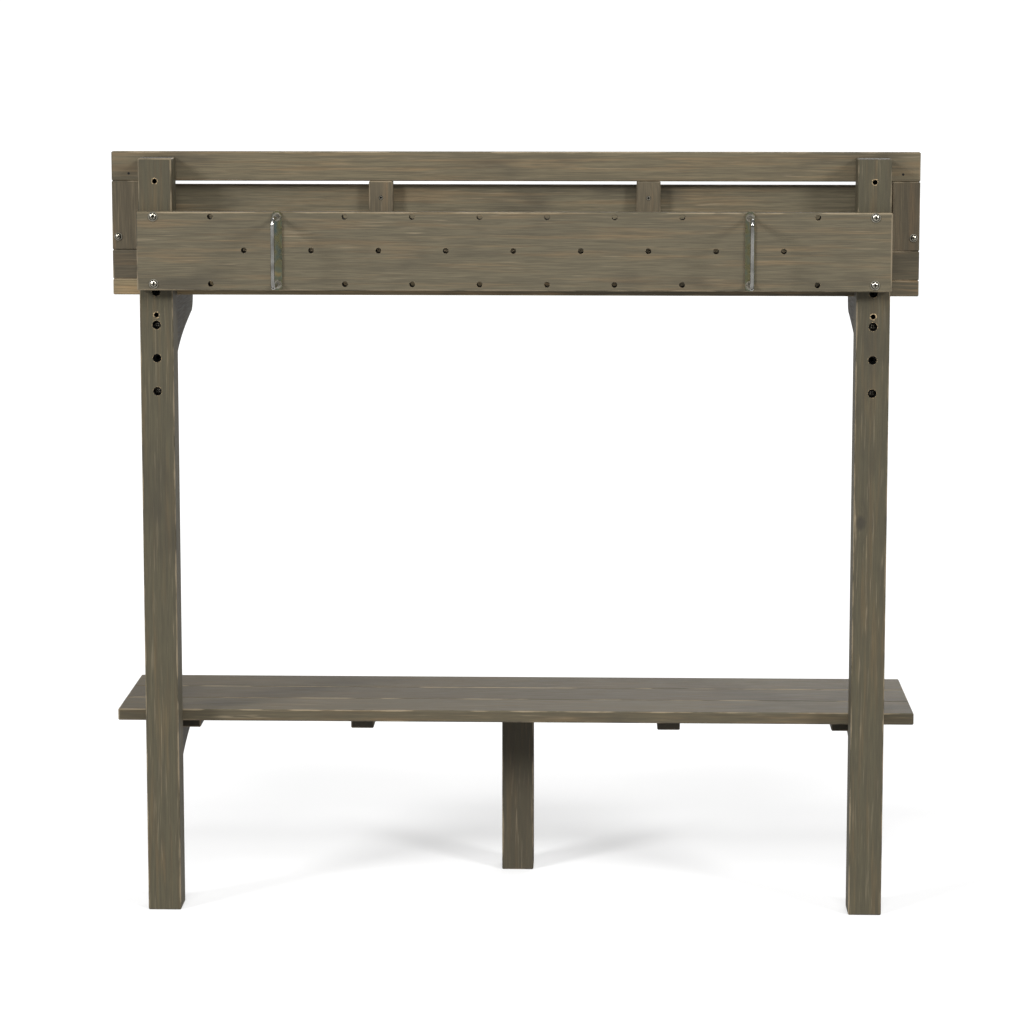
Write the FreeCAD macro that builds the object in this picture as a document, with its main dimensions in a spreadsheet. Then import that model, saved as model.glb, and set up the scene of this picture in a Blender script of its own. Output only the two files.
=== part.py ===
import FreeCAD, Part
import math
import os
import re

from FreeCAD import Placement, Rotation, Vector

# A potting bench in stained softwood. Two square posts stand at the back and one short leg stands
# under the front of the low shelf. A worktop hangs forward of the posts on two curved brackets, with
# a framed backboard and two sloping end walls on it. A drilled board across the back of the posts
# carries two U-bolts, which clamp the bench to a rail.
#
# Frame: X runs along the bench, +Y points from the posts to the side where a person works, Z is up.
# The origin is on the floor, in the middle of the bench's outline.

SIZES = (
    ("edge_ease", 1.5, "small bevel on every sawn edge"),
    ("post_side", 50, "side of the square posts and of the centre leg"),
    ("post_height", 1150, "floor to the top of a post"),
    ("post_centre", 535, "middle of the bench to the middle of a post"),
    ("post_back", -126, "Y of the posts' back faces"),
    ("shelf_length", 1220, "length of the low shelf"),
    ("shelf_thick", 18, "thickness of the shelf boards"),
    ("shelf_top", 303, "floor to the top of the low shelf"),
    ("shelf_board_wide", 83, "width of one shelf board"),
    ("board_gap", 0.5, "joint between neighbouring boards"),
    ("batten_wide", 35, "width of a shelf batten"),
    ("batten_thick", 20, "thickness of a shelf batten"),
    ("batten_long", 196, "length of a shelf batten"),
    ("batten_setback", 42, "posts' front faces to the battens' back ends"),
    ("batten_spacing", 237, "middle of the bench to an inner batten's middle"),
    ("leg_setback", 193, "posts' front faces to the centre leg"),
    ("bracket_thick", 24, "thickness of the curved brackets"),
    ("shelf_bracket_deep", 235, "reach of a shelf bracket"),
    ("shelf_bracket_tall", 140, "height of a shelf bracket"),
    ("worktop_bracket_deep", 282, "reach of a worktop bracket"),
    ("worktop_bracket_tall", 162, "height of a worktop bracket"),
    ("bracket_foot", 16, "width of a bracket's lower tip"),
    ("bracket_nose", 26, "height of a bracket's front end"),
    ("worktop_length", 1214, "length of the worktop and the backboard"),
    ("worktop_thick", 24, "thickness of the worktop boards"),
    ("worktop_top", 966, "floor to the top of the worktop"),
    ("worktop_board_wide", 99.66, "width of one worktop board"),
    ("back_tall", 192, "height of the backboard's frame"),
    ("frame_thick", 18, "thickness of the backboard's frame"),
    ("rail_wide", 44, "width of the frame's two rails"),
    ("end_stile_wide", 42, "width of the frame's end stiles"),
    ("stile_wide", 36, "width of the frame's inner stiles"),
    ("stile_centre", 201, "middle of the bench to an inner stile's middle"),
    ("panel_thick", 15, "thickness of the panel behind the frame"),
    ("panel_tall", 142, "height of the panel"),
    ("wall_thick", 18, "thickness of an end wall"),
    ("wall_deep", 282, "depth of an end wall"),
    ("wall_back_tall", 184, "end wall's height at the backboard"),
    ("wall_front_tall", 100, "end wall's height at the front"),
    ("wall_corner", 30, "round on the end wall's front corner"),
    ("rail_board_long", 1120, "length of the drilled board"),
    ("rail_board_tall", 117, "height of the drilled board"),
    ("rail_board_thick", 24, "thickness of the drilled board"),
    ("rail_board_low", 955, "floor to the drilled board's lower edge"),
    ("hole_pitch", 100, "distance between holes in a row"),
    ("hole_row_low", 965, "floor to the lowest row of holes"),
    ("hole_row_rise", 50, "distance between rows of holes"),
    ("rail_hole_radius", 4, "radius of the drilled board's holes"),
    ("rod_radius", 3, "radius of a U-bolt's rod"),
    ("rod_bend", 9, "bend radius at the middle of the rod"),
    ("bolt_reach", 74, "drilled board's back face to the U-bolt's outside"),
    ("bolt_centre", 350, "middle of the bench to a U-bolt"),
    ("plate_wide", 14, "width of a U-bolt's plate"),
    ("plate_thick", 3, "thickness of a U-bolt's plate"),
    ("plate_long", 118, "length of a U-bolt's plate"),
    ("sink_radius", 6.25, "radius of a post's sunk screw hole"),
    ("sink_deep", 12, "depth of a post's sunk screw hole"),
    ("bolt_hole_radius", 3, "radius of the drilling under a sunk hole"),
    ("bracket_screw_low", 801, "floor to a worktop bracket's lower screw"),
    ("pin_hole_low", 916, "floor to a post's lower pin hole"),
    ("pin_hole_high", 1116, "floor to a post's upper pin hole"),
    ("pin_hole_radius", 3.5, "radius of a post's pin holes"),
    ("pin_hole_deep", 34, "depth of a post's pin holes"),
    ("wall_screw_height", 1030, "floor to the screw of an end wall"),
    ("stile_screw_height", 1089, "floor to the screw of an inner stile"),
)

SIDES = (("left", -1), ("right", 1))
ALONG_Y = Rotation(Vector(1, 0, 0), -90)
ALONG_MINUS_Y = Rotation(Vector(1, 0, 0), 90)
UPWARD = Rotation()
DOWNWARD = Rotation(Vector(1, 0, 0), 180)
ALONG_X = Rotation(Vector(0, 1, 0), 90)

doc = FreeCAD.newDocument("potting_bench")
sheet = doc.addObject("Spreadsheet::Sheet", "Sizes")
for row, (alias, size, meaning) in enumerate(SIZES, start=1):
    sheet.set(f"A{row}", meaning)
    sheet.set(f"B{row}", str(size))
    sheet.setAlias(f"B{row}", alias)
doc.recompute()
cell = {alias: float(sheet.get(alias)) for alias, _, _ in SIZES}
subparts = {}


def bind(feature, **rules):
    """Binds properties of a feature to sums of the sheet's cells. x, y and z stand for its place."""
    for name, rule in rules.items():
        target = f"Placement.Base.{name}" if name in ("x", "y", "z") else name
        feature.setExpression(target, re.sub(r"[a-z]\w+", lambda word: f"Sizes.{word.group()}", rule))


def edges_where(shape, wanted):
    """The names of a shape's edges whose middle point passes a test."""
    names = []
    for number, edge in enumerate(shape.Edges, start=1):
        middle = edge.valueAt((edge.FirstParameter + edge.LastParameter) / 2)
        if wanted(middle):
            names.append(f"Edge{number}")
    return names


def ease(body, edges=None, size="edge_ease"):
    """Bevels all edges of a body, or the named ones."""
    doc.recompute()
    base = body.Tip
    bevel = body.newObject("PartDesign::Chamfer", f"{body.Name}_ease")
    bevel.Base = (base, edges or [f"Edge{n}" for n in range(1, len(base.Shape.Edges) + 1)])
    bind(bevel, Size=size)
    return bevel


def board(name, length, width, height, x, y, z):
    """A straight length of wood with eased edges; x, y and z place its lowest corner."""
    body = doc.addObject("PartDesign::Body", name)
    blank = body.newObject("PartDesign::AdditiveBox", f"{name}_blank")
    bind(blank, Length=length, Width=width, Height=height)
    bind(body, x=x, y=y, z=z)
    ease(body)
    subparts[name] = body
    return body


def drill(body, radius, depth, turn, x, y, z):
    """Cuts a round hole into a body, from a point in the body's own frame."""
    hole = body.newObject("PartDesign::SubtractiveCylinder", f"{body.Name}_hole")
    hole.Placement = Placement(Vector(), turn)
    bind(hole, Radius=radius, Height=depth, x=x, y=y, z=z)
    return hole


def sketch_on(body, role, geometry):
    """A closed sketch on one of a body's own planes."""
    plane = next(f for f in body.Origin.OriginFeatures if f.Role == role)
    sketch = body.newObject("Sketcher::SketchObject", f"{body.Name}_sketch")
    sketch.AttachmentSupport = (plane, "")
    sketch.MapMode = "FlatFace"
    for curve in geometry:
        sketch.addGeometry(curve, False)
    return sketch


def polyline(*points):
    """Straight sketch edges through a list of points, left open."""
    vectors = [Vector(a, b, 0) for a, b in points]
    return [Part.LineSegment(a, b) for a, b in zip(vectors, vectors[1:])]


def plate_body(name, geometry, thickness, x, y, z):
    """A piece sawn to an outline in the YZ plane and as thick as one cell says."""
    body = doc.addObject("PartDesign::Body", name)
    sketch = sketch_on(body, "YZ_Plane", geometry)
    pad = body.newObject("PartDesign::Pad", f"{name}_pad")
    pad.Profile = sketch
    bind(pad, Length=thickness)
    bind(body, x=x, y=y, z=z)
    doc.recompute()
    subparts[name] = body
    return body


# ---- Posts and centre leg ---------------------------------------------------------------------
# Each post has four sunk holes a row-rise apart, of which the second and fourth take the worktop
# bracket's screws, and two plain pin holes.

def post(side, sign):
    name = f"post_{side}"
    x = f"{sign} * post_centre - post_side / 2"
    body = board(name, "post_side", "post_side", "post_height", x, "post_back", "0")
    for step in range(4):
        height = f"bracket_screw_low + {step} * hole_row_rise"
        drill(body, "sink_radius", "sink_deep", ALONG_Y, "post_side / 2", "0", height)
        drill(body, "bolt_hole_radius", "post_side", ALONG_Y, "post_side / 2", "0", height)
    for height in ("pin_hole_low", "pin_hole_high"):
        drill(body, "pin_hole_radius", "pin_hole_deep", ALONG_Y, "post_side / 2", "0", height)


for side, sign in SIDES:
    post(side, sign)
board(
    "centre_leg", "post_side", "post_side", "shelf_top - shelf_thick",
    "-post_side / 2", "post_back + post_side + leg_setback", "0",
)


# ---- Low shelf --------------------------------------------------------------------------------
# Three boards lie on four battens that run from back to front.

SHELF_BOARDS = ("back", "middle", "front")
for place, name in enumerate(SHELF_BOARDS):
    board(
        f"shelf_board_{name}", "shelf_length", "shelf_board_wide", "shelf_thick",
        "-shelf_length / 2", f"post_back + post_side + {place} * (shelf_board_wide + board_gap)",
        "shelf_top - shelf_thick",
    )

BATTENS = {
    "outer_left": "-(post_centre - bracket_thick / 2)",
    "inner_left": "-batten_spacing - batten_wide / 2",
    "inner_right": "batten_spacing - batten_wide / 2",
    "outer_right": "post_centre - bracket_thick / 2 - batten_wide",
}
for name, x in BATTENS.items():
    board(
        f"shelf_batten_{name}", "batten_wide", "batten_long", "batten_thick",
        x, "post_back + post_side + batten_setback", "shelf_top - shelf_thick - batten_thick",
    )


# ---- Curved brackets --------------------------------------------------------------------------
# A bracket is sawn from board. Its top is straight, its front end is a short upright nose with a
# round under it, and its lower edge sweeps back and down to a narrow foot against the post.

def bracket(name, sign, deep, tall, top):
    reach, drop = cell[deep], cell[tall]
    foot, nose = cell["bracket_foot"], cell["bracket_nose"]
    nose_end = Vector(0.915 * reach, -0.309 * drop, 0)
    sweep = Part.BezierCurve()
    sweep.setPoles([
        nose_end,
        Vector(0.532 * reach, -0.444 * drop, 0),
        Vector(0.248 * reach, -0.543 * drop, 0),
        Vector(foot, -drop, 0),
    ])
    under_nose = Vector((reach + nose_end.x) / 2 + 5, (nose_end.y - nose) / 2 - 5, 0)
    geometry = [
        *polyline((foot, -drop), (0, -drop), (0, 0), (reach, 0), (reach, -nose)),
        Part.Arc(Vector(reach, -nose, 0), under_nose, nose_end),
        sweep.toBSpline(),
    ]
    x = f"{sign} * post_centre - bracket_thick / 2"
    plate_body(name, geometry, "bracket_thick", x, "post_back + post_side", top)


for side, sign in SIDES:
    bracket(
        f"shelf_bracket_{side}", sign, "shelf_bracket_deep", "shelf_bracket_tall",
        "shelf_top - shelf_thick",
    )
    bracket(
        f"worktop_bracket_{side}", sign, "worktop_bracket_deep", "worktop_bracket_tall",
        "worktop_top - worktop_thick",
    )


# ---- Worktop, backboard and end walls ---------------------------------------------------------

for place, name in enumerate(SHELF_BOARDS):
    board(
        f"worktop_board_{name}", "worktop_length", "worktop_board_wide", "worktop_thick",
        "-worktop_length / 2",
        f"post_back + post_side + {place} * (worktop_board_wide + board_gap)",
        "worktop_top - worktop_thick",
    )

FRAME_Y = "post_back + post_side"
board(
    "back_top_rail", "worktop_length", "frame_thick", "rail_wide",
    "-worktop_length / 2", FRAME_Y, "worktop_top + back_tall - rail_wide",
)
board(
    "back_bottom_rail", "worktop_length", "frame_thick", "rail_wide",
    "-worktop_length / 2", FRAME_Y, "worktop_top",
)
STILE_TALL = "back_tall - 2 * rail_wide"
STILE_Z = "worktop_top + rail_wide"
board(
    "back_end_stile_left", "end_stile_wide", "frame_thick", STILE_TALL,
    "-worktop_length / 2", FRAME_Y, STILE_Z,
)
board(
    "back_end_stile_right", "end_stile_wide", "frame_thick", STILE_TALL,
    "worktop_length / 2 - end_stile_wide", FRAME_Y, STILE_Z,
)
for side, sign in SIDES:
    board(
        f"back_stile_{side}", "stile_wide", "frame_thick", STILE_TALL,
        f"{sign} * stile_centre - stile_wide / 2", FRAME_Y, STILE_Z,
    )
board(
    "back_panel", "worktop_length - 2 * wall_thick - 2 * board_gap", "panel_thick", "panel_tall",
    "-worktop_length / 2 + wall_thick + board_gap", "post_back + post_side + frame_thick",
    "worktop_top",
)


def end_wall(side, sign):
    """An upright board in the YZ plane whose top slopes down to a rounded front corner."""
    deep, back, front = cell["wall_deep"], cell["wall_back_tall"], cell["wall_front_tall"]
    outline = polyline((0, 0), (deep, 0), (deep, front), (0, back), (0, 0))
    inner = "worktop_length / 2 - wall_thick" if sign > 0 else "-worktop_length / 2"
    body = plate_body(
        f"end_wall_{side}", outline, "wall_thick", inner,
        "post_back + post_side + frame_thick", "worktop_top",
    )
    pad = body.Tip
    at_corner = lambda p: abs(p.y - deep) < 0.1 and abs(p.z - front) < 0.1 and 1 < p.x < 17
    corner = body.newObject("PartDesign::Fillet", f"end_wall_{side}_corner")
    corner.Base = (pad, edges_where(pad.Shape, at_corner))
    bind(corner, Radius="wall_corner")


for side, sign in SIDES:
    end_wall(side, sign)


# ---- Drilled board ----------------------------------------------------------------------------
# Ten holes in the upper and lower rows and nine, halfway between them, in the middle row.

def drilled_board():
    body = board(
        "rail_board", "rail_board_long", "rail_board_thick", "rail_board_tall",
        "-rail_board_long / 2", "post_back - rail_board_thick", "rail_board_low",
    )
    for level in range(3):
        holes = 9 if level == 1 else 10
        for number in range(holes):
            drill(
                body, "rail_hole_radius", "rail_board_thick", ALONG_Y,
                f"rail_board_long / 2 + ({number} - {(holes - 1) / 2}) * hole_pitch", "0",
                f"hole_row_low + {level} * hole_row_rise - rail_board_low",
            )


drilled_board()


# ---- U-bolts ----------------------------------------------------------------------------------
# A bent rod whose legs go through the drilled board's top and bottom rows, a plate under it, and
# nuts on both faces of the board.

BOLT_LOW = cell["hole_row_low"]
BOLT_HIGH = cell["hole_row_low"] + 2 * cell["hole_row_rise"]
BOARD_BACK = cell["post_back"] - cell["rail_board_thick"]
ROD_END = cell["post_back"] + 14


def bent_rod(x):
    """A round rod in the plane of one X: a leg, a bend, the outer run, a bend and a leg."""
    bend, outer = cell["rod_bend"], BOARD_BACK - cell["bolt_reach"] + cell["rod_radius"]
    slack = bend * (1 - math.sqrt(0.5))
    at = lambda y, z: Vector(x, y, z)
    edges = [
        Part.LineSegment(at(ROD_END, BOLT_HIGH), at(outer + bend, BOLT_HIGH)),
        Part.Arc(
            at(outer + bend, BOLT_HIGH), at(outer + slack, BOLT_HIGH - slack),
            at(outer, BOLT_HIGH - bend),
        ),
        Part.LineSegment(at(outer, BOLT_HIGH - bend), at(outer, BOLT_LOW + bend)),
        Part.Arc(
            at(outer, BOLT_LOW + bend), at(outer + slack, BOLT_LOW + slack),
            at(outer + bend, BOLT_LOW),
        ),
        Part.LineSegment(at(outer + bend, BOLT_LOW), at(ROD_END, BOLT_LOW)),
    ]
    path = Part.Wire([edge.toShape() for edge in edges])
    ring = Part.makeCircle(cell["rod_radius"], at(ROD_END, BOLT_HIGH), Vector(0, 1, 0))
    return path.makePipeShell([Part.Wire(ring)], True, False)


def shaped(name, shape):
    """A sub-part whose shape the lines above it work out from the sheet."""
    piece = doc.addObject("Part::Feature", name)
    piece.Shape = shape
    subparts[name] = piece
    return piece


def round_bar(radius, length, place, turn):
    bar = Part.makeCylinder(radius, length)
    bar.Placement = Placement(place, turn)
    return bar


def bolt_plate(x):
    """A flat steel strip with round ends and two holes for the rod's legs."""
    wide, thick, long = cell["plate_wide"], cell["plate_thick"], cell["plate_long"]
    straight = long - wide
    low = (BOLT_LOW + BOLT_HIGH - straight) / 2
    strip = Part.makeBox(wide, thick, straight, Vector(x - wide / 2, BOARD_BACK - thick, low))
    for z in (low, low + straight):
        strip = strip.fuse(round_bar(wide / 2, thick, Vector(x, BOARD_BACK - thick, z), ALONG_Y))
    for z in (BOLT_LOW, BOLT_HIGH):
        strip = strip.cut(
            round_bar(cell["rod_radius"], thick, Vector(x, BOARD_BACK - thick, z), ALONG_Y)
        )
    return strip.removeSplitter()


NUT_FLANGE, NUT_FLANGE_THICK, NUT_ACROSS, NUT_THICK = 6.5, 1.5, 10, 5


def flange_nut(x, y, z, turn):
    """A hexagon nut on a round flange, bored for the rod, growing along the turned Z axis."""
    corner = NUT_ACROSS / math.sqrt(3)
    ring = [
        Vector(corner * math.cos(k * math.pi / 3), corner * math.sin(k * math.pi / 3), 0)
        for k in range(7)
    ]
    hexagon = Part.Face(Part.makePolygon(ring)).extrude(Vector(0, 0, NUT_THICK))
    crown = Part.makeCone(corner + 1.6, corner - 0.6, NUT_THICK)
    nut = hexagon.common(crown).fuse(Part.makeCylinder(NUT_FLANGE, NUT_FLANGE_THICK))
    nut = nut.cut(Part.makeCylinder(cell["rod_radius"], NUT_THICK))
    nut.Placement = Placement(Vector(x, y, z), turn)
    return nut


front_nuts, back_nuts = [], []
for side, sign in SIDES:
    x = sign * cell["bolt_centre"]
    shaped(f"u_bolt_{side}", bent_rod(x))
    shaped(f"u_bolt_plate_{side}", bolt_plate(x))
    for z in (BOLT_LOW, BOLT_HIGH):
        back_nuts.append(flange_nut(x, BOARD_BACK - cell["plate_thick"], z, ALONG_MINUS_Y))
        front_nuts.append(flange_nut(x, cell["post_back"], z, ALONG_Y))
shaped("u_bolt_outer_nuts", Part.makeCompound(back_nuts))
shaped("u_bolt_inner_nuts", Part.makeCompound(front_nuts))


# ---- Screws and dowels ------------------------------------------------------------------------
# Every fastener is shown with a plain shank. The wood round it is cut to the same shape, so a screw
# fills its own hole.

RECESS_WIDE, RECESS_DEEP = 1.3, 1.7
TIP_LONG, TIP_RADIUS = 4, 0.4


def screw(head_radius, head_tall, shank_radius, length, place, turn, sunk=False):
    """A cross-head screw and the room that it takes. place is under the head, or at the surface for
    a sunk head."""
    shank = Part.makeCylinder(shank_radius, length - TIP_LONG)
    tip = Part.makeCone(shank_radius, TIP_RADIUS, TIP_LONG, Vector(0, 0, length - TIP_LONG))
    if sunk:
        head = Part.makeCone(head_radius, shank_radius, head_tall)
        face = 0
    else:
        dome = Part.makeSphere(1.6 * head_radius, Vector(0, 0, 1.6 * head_radius - head_tall))
        head = Part.makeCylinder(head_radius, head_tall, Vector(0, 0, -head_tall)).common(dome)
        face = -head_tall
    room = head.fuse([shank, tip]).removeSplitter()
    arm = 0.62 * head_radius
    body = room
    for wide, deep in ((arm, RECESS_WIDE / 2), (RECESS_WIDE / 2, arm)):
        slot = Part.makeBox(2 * wide, 2 * deep, RECESS_DEEP, Vector(-wide, -deep, face))
        body = body.cut(slot)
    for solid in (body, room):
        solid.Placement = Placement(place, turn)
    return body, room


def washer(outer, inner, thick, place, turn):
    ring = Part.makeCylinder(outer, thick).cut(Part.makeCylinder(inner, thick))
    ring.Placement = Placement(place, turn)
    return ring


def fasten(name, solids, *held):
    """Makes one group of fasteners a sub-part and cuts their room out of the pieces they hold. A
    screw comes with its room; a dowel is its own."""
    pairs = [solid if isinstance(solid, tuple) else (solid, solid) for solid in solids]
    shaped(name, Part.makeCompound([body for body, _ in pairs]))
    room = doc.addObject("Part::Feature", f"{name}_room")
    room.Shape = Part.makeCompound([space for _, space in pairs])
    for piece in held:
        cut = doc.addObject("Part::Cut", f"{piece}_cut")
        cut.Base = subparts[piece]
        cut.Tool = room
        subparts[piece] = cut


POSTS = [sign * cell["post_centre"] for _, sign in SIDES]
POST_FRONT = cell["post_back"] + cell["post_side"]

WASHER_THICK = 1.2
rail_screws, rail_washers = [], []
for x in POSTS:
    for z in (BOLT_LOW, BOLT_HIGH):
        under_head = Vector(x, BOARD_BACK - WASHER_THICK, z)
        rail_screws.append(screw(5, 3.4, 2.5, 60, under_head, ALONG_Y))
        rail_washers.append(washer(7, 2.5, WASHER_THICK, under_head, ALONG_Y))
fasten("rail_board_screws", rail_screws, "rail_board", "post_left", "post_right")
shaped("rail_board_washers", Part.makeCompound(rail_washers))

bracket_screws = [
    screw(
        5.5, 4, cell["bolt_hole_radius"], length,
        Vector(x, cell["post_back"] + cell["sink_deep"], cell["bracket_screw_low"] + rise), ALONG_Y,
    )
    for x in POSTS
    for rise, length in ((0, 58), (2 * cell["hole_row_rise"], 88))
]
fasten("worktop_bracket_screws", bracket_screws, "worktop_bracket_left", "worktop_bracket_right")

wall_x = cell["worktop_length"] / 2 - cell["wall_thick"] / 2
wall_screws, wall_washers = [], []
for x in (-wall_x, wall_x):
    under_head = Vector(x, POST_FRONT - WASHER_THICK, cell["wall_screw_height"])
    wall_screws.append(screw(4.2, 2.8, 2, 48, under_head, ALONG_Y))
    wall_washers.append(washer(5.8, 2, WASHER_THICK, under_head, ALONG_Y))
fasten(
    "end_wall_screws", wall_screws,
    "back_end_stile_left", "back_end_stile_right", "end_wall_left", "end_wall_right",
)
shaped("end_wall_washers", Part.makeCompound(wall_washers))

stile_screws = [
    screw(
        3.4, 2.2, 1.6, 28,
        Vector(sign * cell["stile_centre"], POST_FRONT, cell["stile_screw_height"]), ALONG_Y, sunk=True,
    )
    for _, sign in SIDES
]
fasten("panel_screws", stile_screws, "back_stile_left", "back_stile_right", "back_panel")

BATTEN_MIDDLES = [
    -(cell["post_centre"] - cell["bracket_thick"] / 2 - cell["batten_wide"] / 2),
    -cell["batten_spacing"],
    cell["batten_spacing"],
    cell["post_centre"] - cell["bracket_thick"] / 2 - cell["batten_wide"] / 2,
]
BATTEN_UNDER = cell["shelf_top"] - cell["shelf_thick"] - cell["batten_thick"]
shelf_pitch = cell["shelf_board_wide"] + cell["board_gap"]
batten_screws = [
    screw(
        3.6, 2.4, 1.8, 32,
        Vector(x, POST_FRONT + 62 + place * (shelf_pitch - 10), BATTEN_UNDER), UPWARD, sunk=True,
    )
    for x in BATTEN_MIDDLES
    for place in range(3)
]
fasten(
    "shelf_batten_screws", batten_screws,
    *[f"shelf_board_{name}" for name in SHELF_BOARDS], *[f"shelf_batten_{name}" for name in BATTENS],
)

bracket_side_screws = []
for x, sign in ((BATTEN_MIDDLES[0], -1), (BATTEN_MIDDLES[3], 1)):
    for y in (POST_FRONT + 80, POST_FRONT + 200):
        face = Vector(x - sign * cell["batten_wide"] / 2, y, BATTEN_UNDER + cell["batten_thick"] / 2)
        turn = ALONG_X if sign > 0 else Rotation(Vector(0, 1, 0), -90)
        bracket_side_screws.append(screw(3.6, 2.4, 1.8, 52, face, turn, sunk=True))
fasten(
    "shelf_bracket_screws", bracket_side_screws,
    "shelf_batten_outer_left", "shelf_batten_outer_right", "shelf_bracket_left", "shelf_bracket_right",
)

worktop_pitch = cell["worktop_board_wide"] + cell["board_gap"]
worktop_screws = [
    screw(
        4, 2.6, 2, 48,
        Vector(x, POST_FRONT + place * worktop_pitch + offset, cell["worktop_top"]), DOWNWARD, sunk=True,
    )
    for x in POSTS
    for place in range(3)
    for offset in (22, 74)
]
fasten(
    "worktop_screws", worktop_screws,
    *[f"worktop_board_{name}" for name in SHELF_BOARDS], "worktop_bracket_left", "worktop_bracket_right",
)

DOWEL_RADIUS, DOWEL_LONG = 4, 32
frame_middle = POST_FRONT + cell["frame_thick"] / 2
stile_middles = [
    sign * middle
    for middle in (cell["stile_centre"], cell["worktop_length"] / 2 - cell["end_stile_wide"] / 2)
    for _, sign in SIDES
]
rail_joints = (
    cell["worktop_top"] + cell["rail_wide"],
    cell["worktop_top"] + cell["back_tall"] - cell["rail_wide"],
)
frame_dowels = [
    round_bar(DOWEL_RADIUS, DOWEL_LONG, Vector(x + offset, frame_middle, z - DOWEL_LONG / 2), UPWARD)
    for x in stile_middles
    for offset in (-9, 9)
    for z in rail_joints
]
fasten(
    "back_frame_dowels", frame_dowels, "back_top_rail", "back_bottom_rail",
    "back_end_stile_left", "back_end_stile_right", "back_stile_left", "back_stile_right",
)

leg_middle = POST_FRONT + cell["leg_setback"] + cell["post_side"] / 2
leg_dowels = [
    round_bar(5, 42, Vector(x, leg_middle + 0.5, cell["shelf_top"] - cell["shelf_thick"] - 30), UPWARD)
    for x in (-12, 12)
]
fasten("leg_dowels", leg_dowels, "centre_leg", "shelf_board_front")

edge_dowels = [
    round_bar(
        DOWEL_RADIUS, DOWEL_LONG,
        Vector(x, POST_FRONT + joint * worktop_pitch - DOWEL_LONG / 2,
               cell["worktop_top"] - cell["worktop_thick"] / 2),
        ALONG_Y,
    )
    for joint in (1, 2)
    for x in (-430, -215, 0, 215, 430)
]
fasten("worktop_edge_dowels", edge_dowels, *[f"worktop_board_{name}" for name in SHELF_BOARDS])

shelf_bracket_dowels = [
    round_bar(5, 60, Vector(x, POST_FRONT - 30, cell["shelf_top"] - cell["shelf_thick"] - drop), ALONG_Y)
    for x in POSTS
    for drop in (30, 75)
]
fasten(
    "shelf_bracket_dowels", shelf_bracket_dowels,
    "post_left", "post_right", "shelf_bracket_left", "shelf_bracket_right",
)


# ---- Check and write --------------------------------------------------------------------------

doc.recompute()
broken = [item.Name for item in doc.Objects if {"Invalid", "Error"} & set(item.State)]
if broken:
    raise RuntimeError(f"failed objects: {broken}")
for name, piece in subparts.items():
    if piece.Name != name:
        doc.getObject(name).Label = f"{name}_plain"
    piece.Label = name

os.makedirs("parts", exist_ok=True)
for name, piece in subparts.items():
    shape = piece.Shape
    if shape.isNull() or not shape.isValid() or not shape.Solids:
        raise RuntimeError(f"{name} has no valid solid")
    shape.exportStep(f"parts/{name}.step")
    print(f"{name:28s} {len(shape.Solids):3d} solids {shape.Volume / 1000:9.1f} cm3")
print(len(subparts), "sub-parts")
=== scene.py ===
import itertools
import math

import bmesh
import bpy
from mathutils import Euler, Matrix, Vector


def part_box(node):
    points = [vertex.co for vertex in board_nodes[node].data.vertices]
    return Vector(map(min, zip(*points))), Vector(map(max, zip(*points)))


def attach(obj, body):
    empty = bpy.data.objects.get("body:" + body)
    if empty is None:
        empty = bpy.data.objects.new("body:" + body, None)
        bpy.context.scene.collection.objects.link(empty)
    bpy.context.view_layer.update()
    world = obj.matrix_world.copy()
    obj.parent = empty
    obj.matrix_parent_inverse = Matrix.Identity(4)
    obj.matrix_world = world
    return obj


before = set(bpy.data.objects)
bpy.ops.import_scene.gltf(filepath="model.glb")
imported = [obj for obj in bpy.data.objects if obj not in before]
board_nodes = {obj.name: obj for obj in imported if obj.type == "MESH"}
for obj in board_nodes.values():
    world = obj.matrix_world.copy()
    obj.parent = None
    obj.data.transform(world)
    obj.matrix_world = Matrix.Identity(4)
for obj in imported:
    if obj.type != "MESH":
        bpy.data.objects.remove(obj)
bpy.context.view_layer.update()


# ---- Posts and centre leg ------------------------------------------------------------------
# Two square posts and a short leg carry the bench. They are planed softwood, stained olive
# grey-brown before assembly, so the sunk holes drilled later show raw wood at their rims.

def add(tree, kind, inputs, **settings):
    """A node of that kind in tree, with its settings, and with its inputs given or linked."""
    node = tree.nodes.new("ShaderNode" + kind)
    for name, value in settings.items():
        setattr(node, name, value)
    for socket, value in inputs.items():
        if isinstance(value, bpy.types.NodeSocket):
            tree.links.new(value, node.inputs[socket])
        else:
            node.inputs[socket].default_value = value
    return node


def amount(tree, operation, first, second=0.0):
    return add(tree, "Math", {0: first, 1: second}, operation=operation).outputs["Value"]


def vector(tree, operation, first, second=(0.0, 0.0, 0.0)):
    return add(tree, "VectorMath", {0: first, 1: second}, operation=operation).outputs["Vector"]


def blended(tree, factor, under, over):
    """The colour under, covered by the colour over where factor is 1."""
    return add(tree, "Mix", {0: factor, 6: under, 7: over}, data_type="RGBA").outputs[2]


def ramp(tree, value, start, stop, low=0.0, high=1.0):
    """A smooth step from low at start to high at stop."""
    limits = {"Value": value, "From Min": start, "From Max": stop, "To Min": low, "To Max": high}
    return add(tree, "MapRange", limits, interpolation_type="SMOOTHSTEP").outputs["Result"]


def effect(name, inputs, outputs):
    """An empty node group with those named sockets: its tree, its input node and its output node."""
    group = bpy.data.node_groups.new(name, "ShaderNodeTree")
    for label, kind in inputs:
        group.interface.new_socket(label, in_out="INPUT", socket_type="NodeSocket" + kind)
    for label, kind in outputs:
        group.interface.new_socket(label, in_out="OUTPUT", socket_type="NodeSocket" + kind)
    return group, group.nodes.new("NodeGroupInput"), group.nodes.new("NodeGroupOutput")


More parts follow.
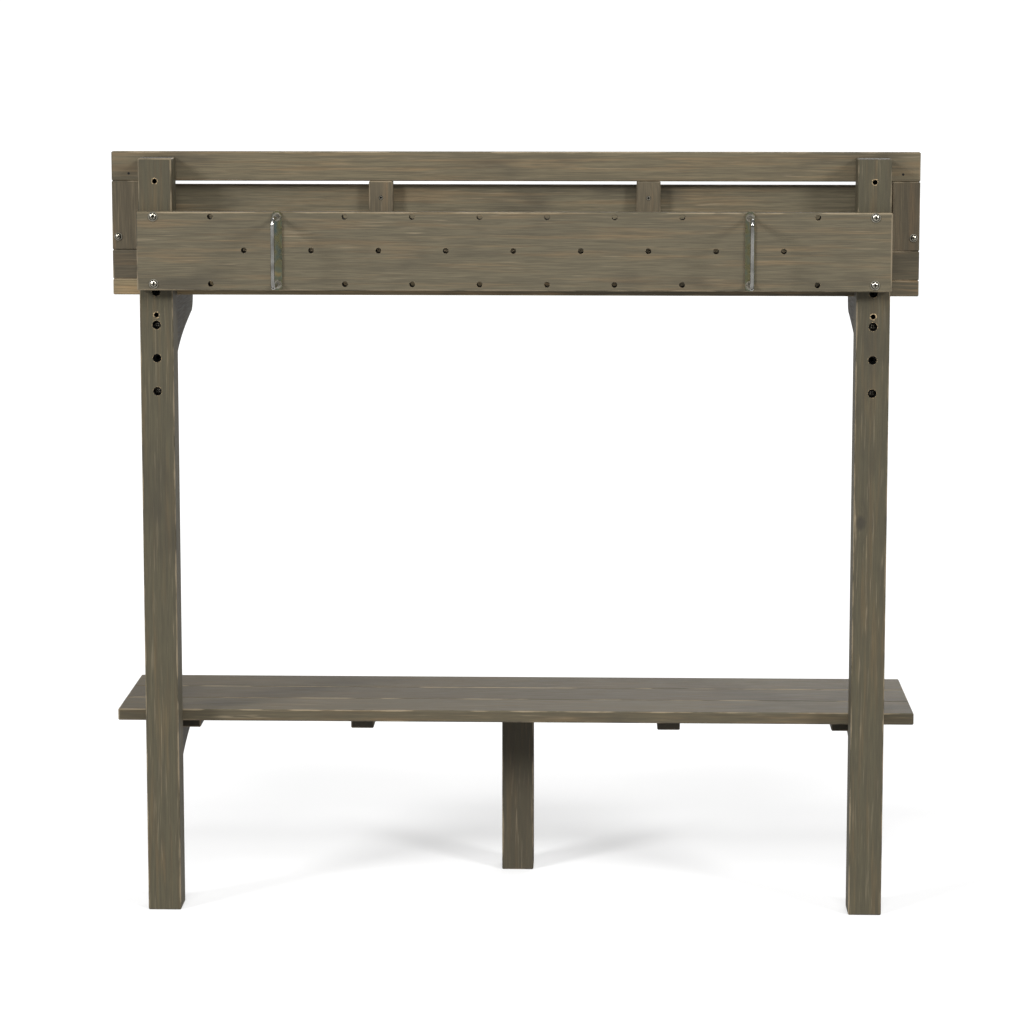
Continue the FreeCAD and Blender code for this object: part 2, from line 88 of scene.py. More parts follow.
# The grain runs along X of the vector it is given, in metres. The numbers of each stretch are
# waves in a metre along and across the grain.
FIBRE_STRETCH = (22.0, 760.0, 760.0)
STREAK_STRETCH = (6.0, 120.0, 120.0)
THREAD_STRETCH = (13.0, 330.0, 330.0)
SMUDGE_STRETCH = (5.0, 13.0, 13.0)
KNOT_STRETCH = (4.2, 6.5, 6.5)
RUBBED_STRETCH = (3.5, 9.0, 9.0)
RING_STRETCH = (0.16, 1.0, 1.0)
RING_SHAPE = {"Scale": 46.0, "Distortion": 2.6, "Detail": 2.0, "Detail Scale": 0.3}
FINE_DETAIL, COARSE_DETAIL, NOISE_ROUGHNESS = 3.0, 2.0, 0.58

# Each mark starts at the first reading of its pattern and is full at the second. The other two
# are its strength there.
RING_SWIRL = (0.0, 0.16, 0.009, 0.0)
WARMTH = (0.46, 0.72, 0.0, 0.48)
RUBBED_PATCH = (0.5, 0.68, 0.35, 1.0)
PALENESS = (0.58, 0.74, 0.0, 0.75)
LATE_WOOD = (0.55, 1.0, 0.0, 0.16)
DIRT = (0.5, 0.76, 0.0, 0.55)
PORES = (0.62, 0.4, 0.0, 0.34)
KNOT = (0.07, 0.035, 0.0, 0.85)
NOISE_SPAN = (0.3, 0.7)
FIBRE_ROUGHNESS = (0.5, 0.68)
RING_RELIEF = 0.4

grain, grain_in, grain_out = effect(
    "wood_grain",
    [("Vector", "Vector"), ("Stain", "Color"), ("Warm", "Color"), ("Pale", "Color"), ("Dark", "Color")],
    [("Color", "Color"), ("Roughness", "Float"), ("Height", "Float")],
)
along = grain_in.outputs["Vector"]


def grain_noise(stretch, detail):
    turned = vector(grain, "MULTIPLY", along, stretch)
    inputs = {"Vector": turned, "Scale": 1.0, "Detail": detail, "Roughness": NOISE_ROUGHNESS}
    return add(grain, "TexNoise", inputs).outputs["Fac"]


fibre = grain_noise(FIBRE_STRETCH, FINE_DETAIL)
streak = grain_noise(STREAK_STRETCH, FINE_DETAIL)
thread = grain_noise(THREAD_STRETCH, COARSE_DETAIL)
smudge = grain_noise(SMUDGE_STRETCH, FINE_DETAIL)
knot_space = vector(grain, "MULTIPLY", along, KNOT_STRETCH)
knot_distance = add(grain, "TexVoronoi", {"Vector": knot_space, "Scale": 1.0}).outputs["Distance"]
swirl = ramp(grain, knot_distance, *RING_SWIRL)
swirled = vector(grain, "ADD", vector(grain, "MULTIPLY", along, RING_STRETCH), swirl)
rings = add(
    grain, "TexWave", {"Vector": swirled, **RING_SHAPE}, wave_type="RINGS", rings_direction="X",
).outputs["Fac"]

rubbed_patch = ramp(grain, grain_noise(RUBBED_STRETCH, COARSE_DETAIL), *RUBBED_PATCH)
stained = grain_in.outputs["Stain"]
for strength, colour in (
    (ramp(grain, streak, *WARMTH), "Warm"),
    (amount(grain, "MULTIPLY", ramp(grain, thread, *PALENESS), rubbed_patch), "Pale"),
    (ramp(grain, rings, *LATE_WOOD), "Dark"),
    (ramp(grain, smudge, *DIRT), "Dark"),
    (ramp(grain, fibre, *PORES), "Dark"),
    (ramp(grain, knot_distance, *KNOT), "Dark"),
):
    stained = blended(grain, strength, stained, grain_in.outputs[colour])
relief = amount(grain, "ADD", amount(grain, "MULTIPLY", rings, RING_RELIEF), fibre)
roughness = ramp(grain, fibre, *NOISE_SPAN, *FIBRE_ROUGHNESS)
grain.links.new(stained, grain_out.inputs["Color"])
grain.links.new(roughness, grain_out.inputs["Roughness"])
grain.links.new(relief, grain_out.inputs["Height"])

# Handling rubs the stain off the arrises, and their pale line is also a painted highlight, where
# light catches the eased edges. End grain soaks up more of the stain. A point's distance to the
# nearest arris is the middle one of its distances to the board's three pairs of faces.
ARRIS_NOISE = {"Scale": 16.0, "Detail": 5.0}
LEAST_PALE_ARRIS, PALE_ARRIS_FULL_AT = 0.0002, 0.6

arris_wear_and_highlight, arris_in, arris_out = effect(
    "edge_wear_and_highlight",
    [("Vector", "Vector"), ("Centre", "Vector"), ("Half Size", "Vector"), ("Width", "Float")],
    [("Arris", "Float"), ("Gap X", "Float"), ("Gap Y", "Float"), ("Gap Z", "Float")],
)
from_centre = vector(arris_wear_and_highlight, "SUBTRACT", arris_in.outputs["Vector"], arris_in.outputs["Centre"])
gaps = vector(arris_wear_and_highlight, "SUBTRACT", arris_in.outputs["Half Size"], vector(arris_wear_and_highlight, "ABSOLUTE", from_centre))
gap = add(arris_wear_and_highlight, "SeparateXYZ", {0: gaps}).outputs
least = amount(arris_wear_and_highlight, "MINIMUM", amount(arris_wear_and_highlight, "MINIMUM", gap[0], gap[1]), gap[2])
most = amount(arris_wear_and_highlight, "MAXIMUM", amount(arris_wear_and_highlight, "MAXIMUM", gap[0], gap[1]), gap[2])
total = amount(arris_wear_and_highlight, "ADD", amount(arris_wear_and_highlight, "ADD", gap[0], gap[1]), gap[2])
middle = amount(arris_wear_and_highlight, "SUBTRACT", amount(arris_wear_and_highlight, "SUBTRACT", total, least), most)
arris_noise = add(arris_wear_and_highlight, "TexNoise", {"Vector": arris_in.outputs["Vector"], **ARRIS_NOISE})
reach = amount(arris_wear_and_highlight, "MULTIPLY", ramp(arris_wear_and_highlight, arris_noise.outputs["Fac"], *NOISE_SPAN), arris_in.outputs["Width"])
reach = amount(arris_wear_and_highlight, "ADD", reach, LEAST_PALE_ARRIS)
worn_and_lit = amount(arris_wear_and_highlight, "SUBTRACT", 1.0, amount(arris_wear_and_highlight, "DIVIDE", middle, reach))
arris_wear_and_highlight.links.new(ramp(arris_wear_and_highlight, worn_and_lit, 0.0, PALE_ARRIS_FULL_AT), arris_out.inputs["Arris"])
for axis, label in enumerate(("Gap X", "Gap Y", "Gap Z")):
    arris_wear_and_highlight.links.new(gap[axis], arris_out.inputs[label])

# Drilled holes stand in straight rows. Rim is the torn ring round each mouth, and Bore the hole,
# where painted shade darkens the inside; on the top rail the same mask makes the dark nail marks.
# MOUTH_EDGE says how far past a hole's wall its painted shade is gone, and how far it is still full.
TEAR_NOISE = {"Scale": 600.0, "Detail": 2.0}
MOUTH_EDGE = (0.0004, 0.0002)
HALF_STEP, FLATTENED = (0.5, 0.5, 0.5), (1.0, 0.0, 1.0)

holes, holes_in, holes_out = effect(
    "drilled_holes",
    [("Vector", "Vector"), ("First", "Vector"), ("Pitch", "Vector"), ("Last", "Vector"),
     ("Radius", "Float"), ("Rim Width", "Float")],
    [("Rim", "Float"), ("Bore", "Float"), ("Offset", "Vector"), ("Distance", "Float")],
)
from_first = vector(holes, "SUBTRACT", holes_in.outputs["Vector"], holes_in.outputs["First"])
steps = vector(holes, "DIVIDE", from_first, holes_in.outputs["Pitch"])
nearest = vector(holes, "FLOOR", vector(holes, "ADD", steps, HALF_STEP))
nearest = vector(holes, "MINIMUM", vector(holes, "MAXIMUM", nearest), holes_in.outputs["Last"])
hole_centre = vector(holes, "MULTIPLY", nearest, holes_in.outputs["Pitch"])
across = vector(holes, "SUBTRACT", from_first, hole_centre)
across = vector(holes, "MULTIPLY", across, FLATTENED)
distance = add(holes, "VectorMath", {0: across}, operation="LENGTH").outputs["Value"]
past_wall = amount(holes, "SUBTRACT", distance, holes_in.outputs["Radius"])
tear = add(holes, "TexNoise", {"Vector": holes_in.outputs["Vector"], **TEAR_NOISE})
torn = ramp(holes, tear.outputs["Fac"], *NOISE_SPAN)
ragged = amount(holes, "MULTIPLY", holes_in.outputs["Rim Width"], torn)
bore_shade_and_nail_mark = ramp(holes, past_wall, *MOUTH_EDGE)
rim = amount(holes, "LESS_THAN", past_wall, ragged)
holes.links.new(amount(holes, "SUBTRACT", rim, bore_shade_and_nail_mark), holes_out.inputs["Rim"])
holes.links.new(bore_shade_and_nail_mark, holes_out.inputs["Bore"])
holes.links.new(across, holes_out.inputs["Offset"])
holes.links.new(distance, holes_out.inputs["Distance"])

STAIN = Vector((0.107, 0.090, 0.057))
WARM_STREAK = Vector((0.172, 0.115, 0.060))
PALE_STREAK = (0.27, 0.215, 0.14, 1.0)
DARK_GRAIN = (0.038, 0.033, 0.024, 1.0)
RAW_WOOD = (0.34, 0.25, 0.14, 1.0)
# Painted shade: the near black inside each drilled hole stands for the shade in its bore. On the top rail it
# is also the dark of the nail marks.
PAINTED_BORE_SHADE_AND_NAIL_MARK = (0.006, 0.005, 0.004, 1.0)
TURN_TO_GRAIN = {"X": (0.0, 0.0, 0.0), "Y": (0.0, 0.0, -math.pi / 2), "Z": (0.0, math.pi / 2, 0.0)}
# The pale line along each arris is partly rubbed wear and partly a painted highlight, where light catches
# the eased edge.
PALE_ARRIS_WIDTH, ARRIS_WEAR_AND_HIGHLIGHT = 0.0028, 0.7
END_GRAIN = (0.002, 0.0008, 0.0, 0.45)
GRAIN_BUMP = {"Strength": 0.35, "Distance": 0.0005}
STAIN_SHEEN = 0.28
DRIFT_FROM_LEFT, DRIFT_FROM_RIGHT = 0.1, 0.3

# Each board is cut from its own place in the tree: how far along, and how far beside and above
# its pith, which change by a step from board to board and start again after a few boards.
CUT_SPACING = 1.7
BESIDE_PITH, BESIDE_STEP, BESIDE_TURNS = 0.04, 0.011, 4
ABOVE_PITH, ABOVE_STEP, ABOVE_TURNS = 0.05, 0.013, 5
board_numbers = itertools.count(1)


def stain_board(name, grain_axis, tone=(1.0, 1.0, 1.0), rows=(), right_tone=None):
    """Stains one board, its grain along the axis named and its colour shifted by tone, which may
    drift to right_tone along X. Each of rows is (first hole's centre, pitch, last hole's number,
    radius, rim's width)."""
    number = next(board_numbers)
    low, high = (Vector(corner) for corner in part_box(name))
    centre, half = (low + high) / 2, (high - low) / 2
    material = bpy.data.materials.new("stained_wood_" + name)
    material.use_nodes = True
    tree = material.node_tree
    shader = tree.nodes["Principled BSDF"]
    place = add(tree, "TexCoord", {}).outputs["Object"]
    turn = Euler(TURN_TO_GRAIN[grain_axis])
    pith = Vector((
        CUT_SPACING * number,
        BESIDE_PITH + BESIDE_STEP * (number % BESIDE_TURNS),
        ABOVE_PITH - ABOVE_STEP * (number % ABOVE_TURNS),
    ))
    shift = pith - turn.to_matrix() @ centre
    lined_up = add(tree, "Mapping", {"Vector": place, "Rotation": turn, "Location": shift}).outputs["Vector"]
    stain = (*(STAIN * Vector(tone)), 1.0)
    warm = (*(WARM_STREAK * Vector(tone)), 1.0)
    colours = {"Stain": stain, "Warm": warm, "Pale": PALE_STREAK, "Dark": DARK_GRAIN}
    wood = add(tree, "Group", {}, node_tree=grain)
    tree.links.new(lined_up, wood.inputs["Vector"])
    for label, colour in colours.items():
        wood.inputs[label].default_value = colour
    if right_tone:
        right_stain = (*(STAIN * Vector(right_tone)), 1.0)
        reading = add(tree, "SeparateXYZ", {0: place}).outputs["X"]
        drift = ramp(tree, reading, low[0] + DRIFT_FROM_LEFT, high[0] - DRIFT_FROM_RIGHT)
        tree.links.new(blended(tree, drift, stain, right_stain), wood.inputs["Stain"])
    edges = add(tree, "Group", {}, node_tree=arris_wear_and_highlight)
    tree.links.new(place, edges.inputs["Vector"])
    edges.inputs["Centre"].default_value = centre
    edges.inputs["Half Size"].default_value = half
    edges.inputs["Width"].default_value = PALE_ARRIS_WIDTH
    end_grain = ramp(tree, edges.outputs["Gap " + grain_axis], *END_GRAIN)
    colour = blended(tree, end_grain, wood.outputs["Color"], DARK_GRAIN)
    # Rubbed wear and painted highlight: each arris is paled.
    rubbed_and_lit = amount(tree, "MULTIPLY", edges.outputs["Arris"], ARRIS_WEAR_AND_HIGHLIGHT)
    colour = blended(tree, rubbed_and_lit, colour, PALE_STREAK)
    for first, pitch, last, radius, rim_width in rows:
        drilled = add(tree, "Group", {}, node_tree=holes)
        tree.links.new(place, drilled.inputs["Vector"])
        for label, value in (("First", first), ("Pitch", pitch), ("Last", last), ("Radius", radius),
                             ("Rim Width", rim_width)):
            drilled.inputs[label].default_value = value
        colour = blended(tree, drilled.outputs["Rim"], colour, RAW_WOOD)
        # Painted shade: each hole's bore is painted near black.
        colour = blended(tree, drilled.outputs["Bore"], colour, PAINTED_BORE_SHADE_AND_NAIL_MARK)
    tree.links.new(colour, shader.inputs["Base Color"])
    tree.links.new(wood.outputs["Roughness"], shader.inputs["Roughness"])
    bump = add(tree, "Bump", {"Height": wood.outputs["Height"], **GRAIN_BUMP})
    tree.links.new(bump.outputs["Normal"], shader.inputs["Normal"])
    shader.inputs["Specular IOR Level"].default_value = STAIN_SHEEN
    board_nodes[name].data.materials[0] = material


POST_TONE = (0.69, 0.72, 0.69)
LEG_TONE = (0.6, 0.6, 0.6)
SUNK_HOLES, SUNK_HOLE_PITCH, LOWEST_SUNK_HOLE = 4, 0.05, 0.801
PIN_HOLES, PIN_HOLE_PITCH, LOWEST_PIN_HOLE = 2, 0.2, 0.916
SUNK_HOLE_RADIUS, SUNK_RIM = 0.00625, 0.0009
PIN_HOLE_RADIUS, PIN_RIM = 0.0035, 0.0022
for side in ("left", "right"):
    low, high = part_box("post_" + side)
    post_x = (low[0] + high[0]) / 2
    sunk_row = ((post_x, 0.0, LOWEST_SUNK_HOLE), (1.0, 1.0, SUNK_HOLE_PITCH),
                (0.0, 0.0, SUNK_HOLES - 1), SUNK_HOLE_RADIUS, SUNK_RIM)
    pin_row = ((post_x, 0.0, LOWEST_PIN_HOLE), (1.0, 1.0, PIN_HOLE_PITCH),
               (0.0, 0.0, PIN_HOLES - 1), PIN_HOLE_RADIUS, PIN_RIM)
    stain_board("post_" + side, "Z", POST_TONE, (sunk_row, pin_row))
stain_board("centre_leg", "Z", LEG_TONE)


# ---- Low shelf -----------------------------------------------------------------------------
# Three softwood boards lie side by side on four battens, which are screwed up into them. Two
# curved brackets hold the shelf to the posts.

SHELF_TONES = {"back": (0.84, 0.83, 0.8), "middle": (0.68, 0.66, 0.64), "front": (0.74, 0.71, 0.66)}
for board, tone in SHELF_TONES.items():
    stain_board("shelf_board_" + board, "X", tone)
for batten in ("outer_left", "inner_left", "inner_right", "outer_right"):
    stain_board("shelf_batten_" + batten, "Y", LEG_TONE)


# ---- Brackets ------------------------------------------------------------------------------
# Four curved brackets, sawn from plank with the grain running out to the front, and stained
# after they are cut.

BRACKET_TONE = (0.7, 0.71, 0.72)
for level in ("shelf", "worktop"):
    for side in ("left", "right"):
        stain_board(f"{level}_bracket_{side}", "Y", BRACKET_TONE)


# ---- Worktop and end walls -----------------------------------------------------------------
# Three boards, doweled edge to edge, lie on the upper brackets. A sloping wall stands on each
# end, so soil and pots stay on.

# The tone of each board at its left and, where it drifts, at its right. The back board's left end is
# painted far lighter, a painted pool of light that fades away towards its right.
WORKTOP_TONES_AND_PAINTED_LIGHT = {
    # Painted light: the back board's lit left end is painted 2.8 times as light, fading to its own tone at
    # the right.
    "back": ((2.8, 2.6, 2.3), (1.05, 1.04, 1.05)),
    "middle": ((1.0, 0.98, 0.95), None),
    "front": ((1.05, 1.05, 1.05), None),
}
END_WALL_TONE = (0.98, 0.97, 0.97)
for board, (tone, right_tone) in WORKTOP_TONES_AND_PAINTED_LIGHT.items():
    stain_board("worktop_board_" + board, "X", tone, right_tone=right_tone)
for side in ("left", "right"):
    stain_board("end_wall_" + side, "Y", END_WALL_TONE)


# ---- Back frame and panel ------------------------------------------------------------------
# Two long rails and four upright stiles are doweled into a frame, and a thin panel closes its
# lower part from the working side, which leaves a slot below the top rail.

NAIL_RADIUS, NAIL_RIM, NAIL_X, NAIL_HEIGHT = 0.0016, 0.0004, 0.581, 1.125
TOP_RAIL_TONE = (1.24, 1.22, 1.17)
BOTTOM_RAIL_TONE, BOTTOM_RAIL_RIGHT_TONE = (0.92, 0.9, 0.92), (1.15, 1.12, 1.08)
STILE_TONE = (1.02, 0.98, 0.97)
PANEL_TONE = (1.3, 1.31, 1.3)
nails = ((-NAIL_X, 0.0, NAIL_HEIGHT), (2 * NAIL_X, 1.0, 1.0), (1.0, 0.0, 0.0), NAIL_RADIUS, NAIL_RIM)
stain_board("back_top_rail", "X", TOP_RAIL_TONE, (nails,))
stain_board("back_bottom_rail", "X", BOTTOM_RAIL_TONE, right_tone=BOTTOM_RAIL_RIGHT_TONE)
for stile in ("end_stile_left", "end_stile_right", "stile_left", "stile_right"):
    stain_board("back_" + stile, "Z", STILE_TONE)
stain_board("back_panel", "X", PANEL_TONE)


# ---- Drilled rail board --------------------------------------------------------------------
# A wide board across the back of the posts, drilled on a grid so that a U-bolt or a hook can
# go anywhere along it.

HOLE_RADIUS, HOLE_RIM, HOLE_PITCH = 0.004, 0.0006, 0.1
OUTER_FIRST, OUTER_LAST = (-0.45, 0.0, 0.965), (9.0, 0.0, 1.0)
MIDDLE_FIRST, MIDDLE_LAST = (-0.4, 0.0, 1.015), (8.0, 0.0, 0.0)
RAIL_BOARD_TONE = (1.04, 1.05, 1.05)
outer_rows = (OUTER_FIRST, (HOLE_PITCH, 1.0, HOLE_PITCH), OUTER_LAST, HOLE_RADIUS, HOLE_RIM)
middle_row = (MIDDLE_FIRST, (HOLE_PITCH, 1.0, 1.0), MIDDLE_LAST, HOLE_RADIUS, HOLE_RIM)
stain_board("rail_board", "X", RAIL_BOARD_TONE, (outer_rows, middle_row))


# ---- Dowels --------------------------------------------------------------------------------
# Plain turned beech dowels join the frame, the leg, the worktop's boards and the brackets. Each is
# glued into both of its pieces.

BEECH = (0.55, 0.40, 0.24, 1.0)
BEECH_DARK = (0.40, 0.27, 0.15, 1.0)
dowel_wood = bpy.data.materials.new("dowel_wood")
dowel_wood.use_nodes = True
tree = dowel_wood.node_tree
beech = add(tree, "Group", {}, node_tree=grain)
tree.links.new(add(tree, "TexCoord", {}).outputs["Object"], beech.inputs["Vector"])
for label, colour in (("Stain", BEECH), ("Warm", BEECH), ("Pale", BEECH), ("Dark", BEECH_DARK)):
    beech.inputs[label].default_value = colour
tree.links.new(beech.outputs["Color"], tree.nodes["Principled BSDF"].inputs["Base Color"])
tree.links.new(beech.outputs["Roughness"], tree.nodes["Principled BSDF"].inputs["Roughness"])
for node in ("back_frame_dowels", "leg_dowels", "worktop_edge_dowels", "shelf_bracket_dowels"):
    board_nodes[node].data.materials[0] = dowel_wood


# ---- Screws, washers and nuts --------------------------------------------------------------
# Cross-head screws, with washers on the rail board and the end walls, and the U-bolts' nuts. They
# are zinc-plated steel, faintly cloudy, with painted shade in their cross recesses and round the
# edges of their heads.

CLOUD_DETAIL = 5.0
SCRATCH_NOISE = {"Scale": 1900.0, "Detail": 2.0}
SCRATCH_BUMP = {"Strength": 0.12, "Distance": 0.0001}


def plated_steel(name, shades, cloud_scale, roughness):
    """Plated steel whose colour drifts through shades, each (place from 0 to 1, colour), and
    whose roughness drifts between the two given."""
    material = bpy.data.materials.new(name)
    material.use_nodes = True
    tree = material.node_tree
    shader = tree.nodes["Principled BSDF"]
    shader.inputs["Metallic"].default_value = 1.0
    place = add(tree, "TexCoord", {}).outputs["Object"]
    cloudy = {"Vector": place, "Scale": cloud_scale, "Detail": CLOUD_DETAIL}
    cloud = add(tree, "TexNoise", cloudy).outputs["Fac"]
    tint = add(tree, "ValToRGB", {"Fac": cloud})
    stops = tint.color_ramp.elements
    while len(stops) < len(shades):
        stops.new(0.5)
    for stop, (position, colour) in zip(stops, shades):
        stop.position, stop.color = position, colour
    tree.links.new(tint.outputs["Color"], shader.inputs["Base Color"])
    tree.links.new(ramp(tree, cloud, *NOISE_SPAN, *roughness), shader.inputs["Roughness"])
    scratch = add(tree, "TexNoise", {"Vector": place, **SCRATCH_NOISE}).outputs["Fac"]
    bump = add(tree, "Bump", {"Height": scratch, **SCRATCH_BUMP})
    tree.links.new(bump.outputs["Normal"], shader.inputs["Normal"])
    return material


def paint_head_shade(material, node, reach, head_radius, drive):
    """Paints shade near black on the line where each head of a set ends and, where drive is true, into its
    cross recess. The set stands in a rectangle or a row, and each of its pieces reaches that far round its
    axis."""
    low, high = (Vector(corner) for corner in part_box(node))
    tree = material.node_tree
    shader = tree.nodes["Principled BSDF"]
    heads = add(tree, "Group", {}, node_tree=holes)
    tree.links.new(add(tree, "TexCoord", {}).outputs["Object"], heads.inputs["Vector"])
    heads.inputs["First"].default_value = low + Vector((reach, 0.0, reach))
    heads.inputs["Pitch"].default_value = high - low - Vector((2 * reach, 0.0, 2 * reach))
    heads.inputs["Last"].default_value = (1.0, 0.0, 1.0)
    past_edge = amount(tree, "SUBTRACT", heads.outputs["Distance"], head_radius)
    from_edge = amount(tree, "ABSOLUTE", past_edge)
    # Painted shade in the crease round each head's edge.
    painted_shade = amount(tree, "LESS_THAN", from_edge, HEAD_LINE / 2)
    if drive:
        # Painted shade in the cross recess.
        offset = vector(tree, "ABSOLUTE", heads.outputs["Offset"])
        arms = add(tree, "SeparateXYZ", {0: offset}).outputs
        off_arm = amount(tree, "MINIMUM", arms["X"], arms["Z"])
        narrow = amount(tree, "LESS_THAN", off_arm, DRIVE_WIDTH / 2)
        short = amount(tree, "LESS_THAN", heads.outputs["Distance"], head_radius * DRIVE_SHARE)
        painted_shade = amount(tree, "MAXIMUM", painted_shade, amount(tree, "MULTIPLY", narrow, short))
    plating = shader.inputs["Base Color"].links[0].from_socket
    tree.links.new(blended(tree, painted_shade, plating, PAINTED_HEAD_SHADE), shader.inputs["Base Color"])


HEAD_LINE, DRIVE_WIDTH, DRIVE_SHARE = 0.0012, 0.0015, 0.62
# Painted shade: the near black round each head's edge and in its cross recess.
PAINTED_HEAD_SHADE = (0.012, 0.011, 0.009, 1.0)
SCREW_CLOUDS, SCREW_ROUGHNESS = 160.0, (0.2, 0.34)
SCREW_SHADES = ((0.35, (0.27, 0.25, 0.20, 1.0)), (0.65, (0.50, 0.47, 0.39, 1.0)))
# Node, how far a piece reaches round its axis, its head's radius, and whether it has a recess.
BACK_FIXINGS = (
    ("rail_board_screws", 0.005, 0.005, True), ("rail_board_washers", 0.007, 0.005, False),
    ("worktop_bracket_screws", 0.0055, 0.0055, True),
    ("end_wall_screws", 0.0042, 0.0042, True), ("end_wall_washers", 0.0058, 0.0042, False),
    ("panel_screws", 0.0034, 0.0034, True),
)
for node, reach, head_radius, drive in BACK_FIXINGS:
    bright_zinc = plated_steel("bright_zinc_" + node, SCREW_SHADES, SCREW_CLOUDS, SCREW_ROUGHNESS)
    paint_head_shade(bright_zinc, node, reach, head_radius, drive)
    board_nodes[node].data.materials[0] = bright_zinc

plain_zinc = plated_steel("bright_zinc", SCREW_SHADES, SCREW_CLOUDS, SCREW_ROUGHNESS)
for node in (
    "shelf_batten_screws", "shelf_bracket_screws", "worktop_screws", "u_bolt_outer_nuts",
    "u_bolt_inner_nuts",
):
    board_nodes[node].data.materials[0] = plain_zinc


# ---- U-bolts -------------------------------------------------------------------------------
# Each is a round steel rod bent square, with rolled threads at its ends and a flat plate across
# it. The threads show outside the nuts. The plates' passivation drifts from olive to blue.

ZINC_SHADES = ((0.35, (0.24, 0.235, 0.215, 1.0)), (0.65, (0.46, 0.45, 0.42, 1.0)))
ROD_CLOUDS, ROD_ROUGHNESS = 60.0, (0.07, 0.2)
bright_rod = plated_steel("bright_rod", ZINC_SHADES, ROD_CLOUDS, ROD_ROUGHNESS)
THREAD_ROOT, THREAD_CREST, THREAD_PITCH, THREAD_SIDES = 0.0029, 0.00325, 0.001, 20
BARE_THREAD, TIP_MARGIN = 0.007, 0.0004
# The ridge is wound from a triangle. Each corner is a share of the pitch and a radius.
RIDGE_CORNERS = ((0.1, THREAD_ROOT), (0.5, THREAD_CREST), (0.9, THREAD_ROOT))
threads = bmesh.new()
for side in ("left", "right"):
    low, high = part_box("u_bolt_" + side)
    rod_radius = (high[0] - low[0]) / 2
    rod_x = (low[0] + high[0]) / 2
    outer_face, inner_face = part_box("u_bolt_outer_nuts")[0][1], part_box("u_bolt_inner_nuts")[1][1]
    spans = ((outer_face - BARE_THREAD, outer_face), (inner_face, high[1] - TIP_MARGIN))
    for rod_z in (low[2] + rod_radius, high[2] - rod_radius):
        for start, stop in spans:
            turns = math.floor((stop - start) / THREAD_PITCH)
            corners = [
                threads.verts.new((rod_x, start + THREAD_PITCH * rise, rod_z + radius))
                for rise, radius in RIDGE_CORNERS
            ]
            sides = zip(corners[-1:] + corners[:-1], corners)
            ridge = corners + [threads.edges.new(ends) for ends in sides]
            bmesh.ops.spin(
                threads, geom=ridge, cent=(rod_x, 0.0, rod_z), axis=(0.0, 1.0, 0.0),
                dvec=(0.0, THREAD_PITCH / THREAD_SIDES, 0.0), angle=2 * math.pi * (turns - 1),
                steps=THREAD_SIDES * (turns - 1), use_merge=False,
            )
open_edges = [edge for edge in threads.edges if edge.is_boundary]
bmesh.ops.holes_fill(threads, edges=open_edges, sides=len(RIDGE_CORNERS))
bmesh.ops.recalc_face_normals(threads, faces=threads.faces)
thread_mesh = bpy.data.meshes.new("u_bolt_threads")
threads.to_mesh(thread_mesh)
threads.free()
thread_mesh.materials.append(bright_rod)
thread_piece = bpy.data.objects.new("u_bolt_threads", thread_mesh)
bpy.context.scene.collection.objects.link(thread_piece)
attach(thread_piece, "root")

PASSIVATION = (
    (0.34, (0.13, 0.17, 0.16, 1.0)), (0.48, (0.23, 0.21, 0.11, 1.0)),
    (0.58, (0.17, 0.19, 0.14, 1.0)), (0.72, (0.34, 0.25, 0.11, 1.0)),
)
PLATE_CLOUDS, PLATE_ROUGHNESS = 38.0, (0.2, 0.38)
passivated = plated_steel("passivated_zinc", PASSIVATION, PLATE_CLOUDS, PLATE_ROUGHNESS)
for side in ("left", "right"):
    board_nodes["u_bolt_" + side].data.materials[0] = bright_rod
    board_nodes["u_bolt_plate_" + side].data.materials[0] = passivated


# ---- Floor, light and camera ---------------------------------------------------------------
# A white studio: a floor, an even white surround, and soft lamps to the left, to the right,
# above and beyond. The surround lights less than it shows, so the lamps model the boards.

FLOOR_SIDE = 60.0
floor_mesh = bmesh.new()
bmesh.ops.create_grid(floor_mesh, x_segments=1, y_segments=1, size=FLOOR_SIDE / 2)
floor_data = bpy.data.meshes.new("floor")
floor_mesh.to_mesh(floor_data)
floor_mesh.free()
floor = bpy.data.objects.new("floor", floor_data)
bpy.context.scene.collection.objects.link(floor)
floor_paint = bpy.data.materials.new("floor_paint")
floor_paint.use_nodes = True
FLOOR_GLOW, FLOOR_COLOUR = 0.47, (0.5, 0.5, 0.5, 1.0)
WHITE = (1.0, 1.0, 1.0, 1.0)
paint = floor_paint.node_tree.nodes["Principled BSDF"].inputs
paint["Base Color"].default_value = FLOOR_COLOUR
paint["Roughness"].default_value = 1.0
paint["Specular IOR Level"].default_value = 0.0
paint["Emission Color"].default_value = WHITE
glow_seen = add(floor_paint.node_tree, "LightPath", {}).outputs["Is Camera Ray"]
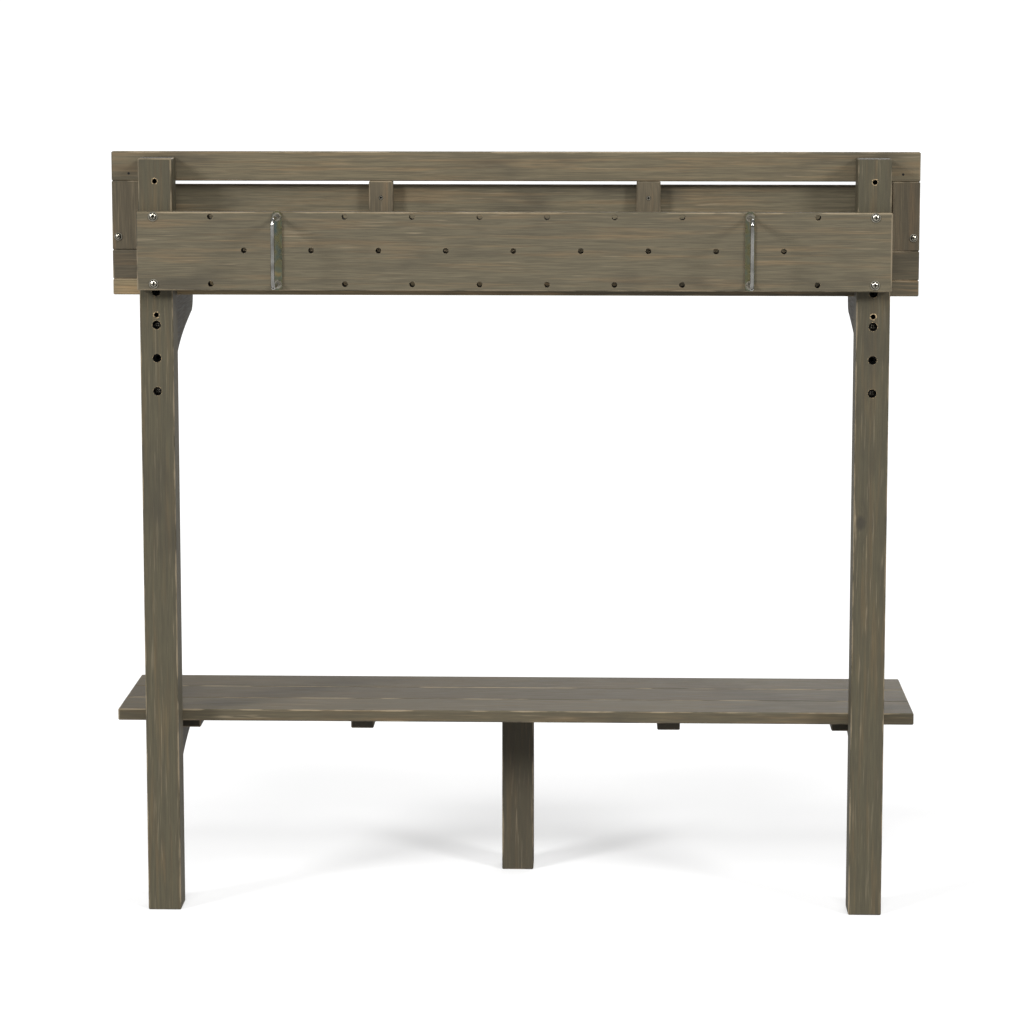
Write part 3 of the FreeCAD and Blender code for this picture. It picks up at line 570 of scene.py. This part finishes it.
glow = amount(floor_paint.node_tree, "MULTIPLY", glow_seen, FLOOR_GLOW)
floor_paint.node_tree.links.new(glow, paint["Emission Strength"])
floor_data.materials.append(floor_paint)

scene = bpy.context.scene
scene.view_settings.view_transform = "Standard"
surround = bpy.data.worlds.new("surround")
surround.use_nodes = True
surround.node_tree.nodes["Background"].inputs["Color"].default_value = WHITE
SURROUND_LIGHT, SURROUND_SHOWN = 0.3, 1.1
seen = add(surround.node_tree, "LightPath", {}).outputs["Is Camera Ray"]
white = ramp(surround.node_tree, seen, 0.0, 1.0, SURROUND_LIGHT, SURROUND_SHOWN)
surround.node_tree.links.new(white, surround.node_tree.nodes["Background"].inputs["Strength"])
scene.world = surround

# Each lamp's name, a place that it shines from towards the origin, its spread in degrees and its
# strength.
LAMPS = (
    ("lamp_left", (-2.8, -2.5, 1.7), 14.0, 2.35),
    ("lamp_right", (2.8, -2.5, 1.7), 14.0, 1.9),
    ("lamp_above", (0.0, -2.6, 3.5), 20.0, 1.4),
    ("lamp_beyond", (0.9, 3.0, 2.0), 40.0, 1.1),
)
for name, spot, spread, strength in LAMPS:
    lamp = bpy.data.lights.new(name, "SUN")
    lamp.angle, lamp.energy = math.radians(spread), strength
    holder = bpy.data.objects.new(name, lamp)
    holder.location = spot
    holder.rotation_euler = Vector(spot).to_track_quat("Z", "Y").to_euler()
    scene.collection.objects.link(holder)

camera_data = bpy.data.cameras.new("camera")
CAMERA_LENS, CAMERA_SENSOR, CAMERA_SHIFT = 110.7, 36.0, -0.1
CAMERA_PLACE, CAMERA_TILT, CAMERA_TURN = (0.129, -4.803, 1.372), -7.27, 1.61
camera_data.lens, camera_data.sensor_width = CAMERA_LENS, CAMERA_SENSOR
camera_data.shift_y = CAMERA_SHIFT
camera = bpy.data.objects.new("camera", camera_data)
camera.location = CAMERA_PLACE
camera.rotation_euler = (math.radians(90 + CAMERA_TILT), 0.0, math.radians(CAMERA_TURN))
scene.collection.objects.link(camera)
scene.camera = camera
